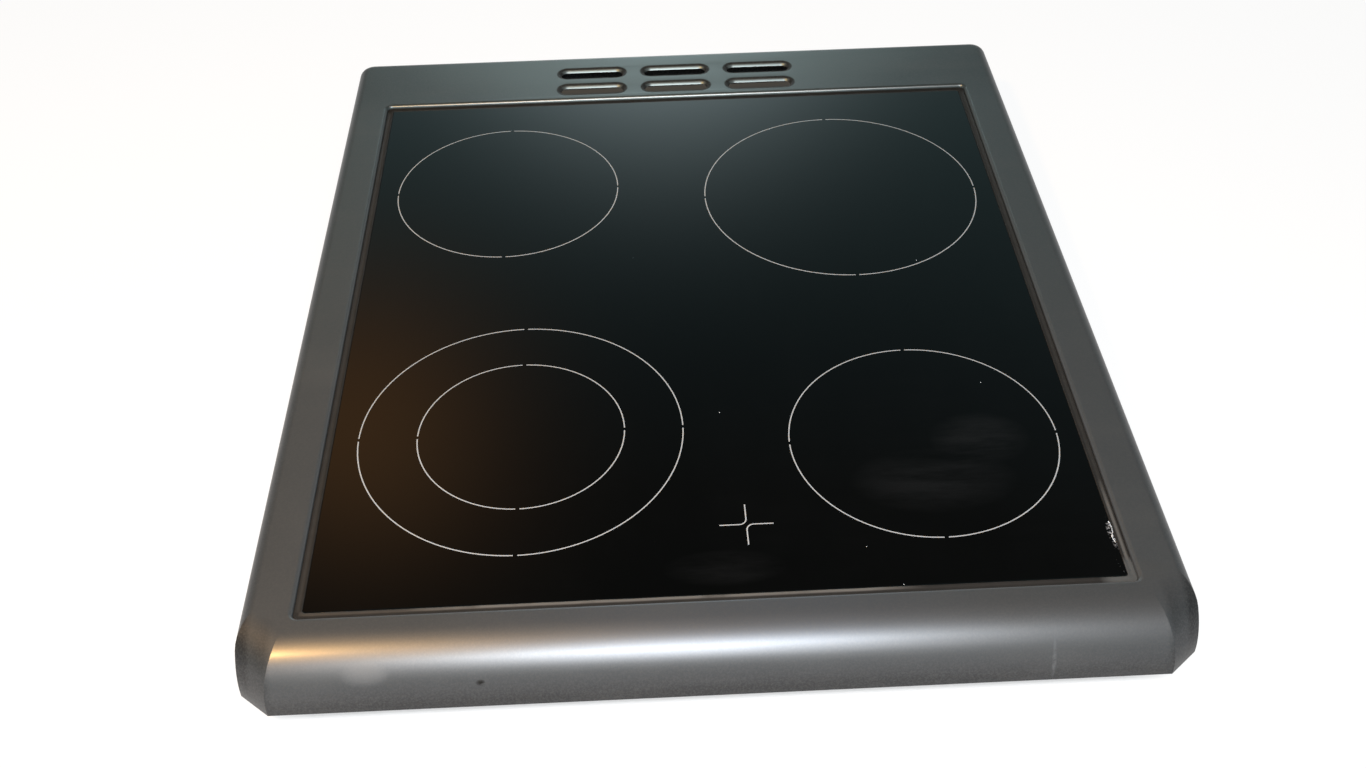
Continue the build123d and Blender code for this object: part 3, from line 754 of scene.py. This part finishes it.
class Stroke:
    """A thin printed bar pushed along straights and round bends."""

    def __init__(self, mesh, place, heading):
        self.mesh = mesh
        self.heading = heading
        self.place = Vector((place[0], place[1], GLASS_TOP))
        across = self.left() * INK_WIDTH / 2
        up = Vector((0, 0, INK_THICK))
        near, far = self.place - across, self.place + across
        corners = [near, far, far + up, near + up]
        self.end = mesh.faces.new([mesh.verts.new(corner) for corner in corners])

    def ahead(self):
        return Vector((math.cos(self.heading), math.sin(self.heading), 0))

    def left(self):
        return Vector((-math.sin(self.heading), math.cos(self.heading), 0))

    def straight(self, length):
        made = bmesh.ops.extrude_face_region(self.mesh, geom=[self.end])["geom"]
        verts = [item for item in made if isinstance(item, bmesh.types.BMVert)]
        move = self.ahead() * length
        bmesh.ops.translate(self.mesh, vec=move, verts=verts)
        self.place += move
        self.end = next(item for item in made if isinstance(item, bmesh.types.BMFace))
        return self

    def bend(self, radius, angle, steps):
        """Turns left by the angle round a centre that is the radius away."""
        centre = self.place + self.left() * radius
        made = bmesh.ops.spin(
            self.mesh,
            geom=[self.end],
            cent=centre,
            axis=(0, 0, 1),
            angle=angle,
            steps=steps,
        )["geom_last"]
        self.heading += angle
        self.place = centre - self.left() * radius
        self.end = next(item for item in made if isinstance(item, bmesh.types.BMFace))
        return self


def printed(name, mesh):
    bmesh.ops.recalc_face_normals(mesh, faces=mesh.faces)
    finished(name, mesh, INK, smooth=False)


def printed_ring(name, x, y, radius):
    """Four printed quarter arcs with a small gap between each pair."""
    mesh = bmesh.new()
    gap = RING_GAP / radius
    for quarter in range(4):
        start = quarter * QUARTER + gap / 2
        place = (x + radius * math.cos(start), y + radius * math.sin(start))
        Stroke(mesh, place, start + QUARTER).bend(radius, QUARTER - gap, RING_STEPS)
    printed(name, mesh)


for ring, x, y, radius in RINGS:
    printed_ring(ring, x * MM, y * MM, radius * MM)


def centre_mark():
    """Two angled strokes back to back, which make a small cross open in its middle."""
    mesh = bmesh.new()
    x, y = (value * MM for value in MARK_PLACE)
    run = (MARK_ARM - MARK_BEND) * MM
    for side, heading in ((-1, 0.0), (1, math.pi)):
        stroke = Stroke(mesh, (x + side * MARK_ARM * MM, y), heading)
        stroke.straight(run).bend(MARK_BEND * MM, QUARTER, MARK_STEPS).straight(run)
    printed("centre_mark", mesh)


centre_mark()

# ---- floor, camera and light ----------------------------------------------------------------

FLOOR_SIZE = 12.0
FLOOR_DROP = 0.3 * MM
FLOOR_WHITE = 0.88             # share of plain white in the floor as it is seen
GLOW_UNDER = 0.5                   # light that the floor sends up under the hob
bpy.ops.mesh.primitive_plane_add(size=FLOOR_SIZE, location=(0, 0, -FLOOR_DROP))
floor = bpy.context.object
floor.name = "floor"
f = Finish("studio_floor")
ray = f.node("ShaderNodeLightPath")
seen = ray["Is Camera Ray"].math("MAXIMUM", ray["Is Glossy Ray"])
seen = seen.math("MAXIMUM", ray["Is Transmission Ray"])
x, y, _ = f.axes()
geometry = f.node("ShaderNodeNewGeometry")
# a strip of painted shade on the floor behind the hob, to be seen through the vents, and what lies
# right under it
shade = abs(x).below(0.110, 0.02) * y.between(0.328, 0.354, 0.014)
below = abs(x).below(0.235, 0.03) * y.below(0.278, 0.02) * y.above(-0.285, 0.03)
hidden = below.math("MAXIMUM", shade)
ground = f.blend(shade, (0.86, 0.86, 0.86), (0.105, 0.120, 0.140))
lit = f.node("ShaderNodeBsdfDiffuse", None, {"Color": ground})["BSDF"]
white = f.node("ShaderNodeEmission", None, {"Color": WHITE, "Strength": 1.0})["Emission"]
shown = f.mixed(seen * FLOOR_WHITE * (1.0 - hidden), lit, white)
# painted light: under the hob the floor glows white for diffuse and glossy rays, to light the
# underside
glow_under = ray["Is Diffuse Ray"].math("MAXIMUM", ray["Is Glossy Ray"]) * below * GLOW_UNDER
shown = f.mixed(glow_under * y.below(0.14, 0.12), shown, white)
clear = f.node("ShaderNodeBsdfTransparent")["BSDF"]
shown = f.mixed(geometry["Backfacing"], shown, clear)
f.node("ShaderNodeOutputMaterial", None, {"Surface": shown})
floor.data.materials.append(f.owner)

camera_data = bpy.data.cameras.new("camera")
camera = placed("camera", camera_data)
bpy.context.scene.camera = camera
camera_data.sensor_width = 36.0
camera_data.lens = 34.516
camera_data.shift_x = 0.0003
camera_data.shift_y = 0.12745
camera_data.clip_start = 0.01
camera.location = (-0.03054, -0.69081, 0.58382)
camera.rotation_euler = [math.radians(turn) for turn in (40.791, 0.854, -2.654)]


def lamp(name, place, target, size, power, colour):
    """A rectangular soft light, given its width and its height."""
    data = bpy.data.lights.new(name, "AREA")
    data.shape = "RECTANGLE"
    data.size, data.size_y = size
    data.energy = power
    data.color = colour
    made = placed(name, data)
    made.location = place
    direction = Vector(target) - Vector(place)
    made.rotation_euler = direction.to_track_quat("-Z", "Y").to_euler()


lamp("key", (-0.02, -0.82, 0.87), (0, -0.05, 0.03), (0.42, 0.15), 20.0, (0.98, 0.985, 1.0))
lamp("warm", (-0.62, -0.48, 1.18), (-0.2, -0.25, 0.05), (0.22, 0.08), 16.0, (1.0, 0.55, 0.19))

# The studio: pale walls up to the height of a low view, and a dim blue-green ceiling with two
# bright patches behind the hob and a dim warm one over its left side.
world = bpy.data.worlds.new("studio")
bpy.context.scene.world = world
f = Finish("studio", world)
direction = f.node("ShaderNodeTexCoord")["Generated"]
height = f.node("ShaderNodeSeparateXYZ", None, {0: direction})["Z"]
CEILING = [
    (0.30, (0.30, 0.36, 0.37)),
    (0.50, (0.150, 0.250, 0.262)),
    (0.58, (0.100, 0.165, 0.176)),
    (0.65, (0.062, 0.095, 0.104)),
    (0.72, (0.042, 0.048, 0.048)),
    (0.80, (0.024, 0.024, 0.024)),
]
ceiling = f.node("ShaderNodeValToRGB", {"stops": CEILING}, {"Fac": height})["Color"]
# round soft patches: the direction of the middle, the spread and the colour
PATCHES = (
    ((0.02, 0.915, 0.398), 0.085, (2.1, 2.6, 2.7)),
    ((0.0, 0.94, 0.33), 0.06, (6.0, 7.4, 7.6)),
    ((-0.22, 0.71, 0.668), 0.072, (0.60, 0.31, 0.13)),
)
for aim, spread, colour in PATCHES:
    patch = ((f.facing(direction, aim) - 1.0) / spread**2).math("EXPONENT")
    ceiling = f.blend(patch, ceiling, colour)
walls = height.below(0.22, 0.10)
mirrored = f.blend(walls, ceiling, WHITE)
ray = f.node("ShaderNodeLightPath")
reflected = ray["Is Glossy Ray"].math("MAXIMUM", ray["Is Transmission Ray"])
tone = f.blend(reflected, (0.20, 0.28, 0.31), mirrored)
tone = f.blend(ray["Is Camera Ray"], tone, WHITE)
shine = f.node("ShaderNodeBackground", None, {"Color": tone, "Strength": 1.0})["Background"]
f.node("ShaderNodeOutputWorld", None, {"Surface": shine})

bpy.context.scene.view_settings.view_transform = "Standard"
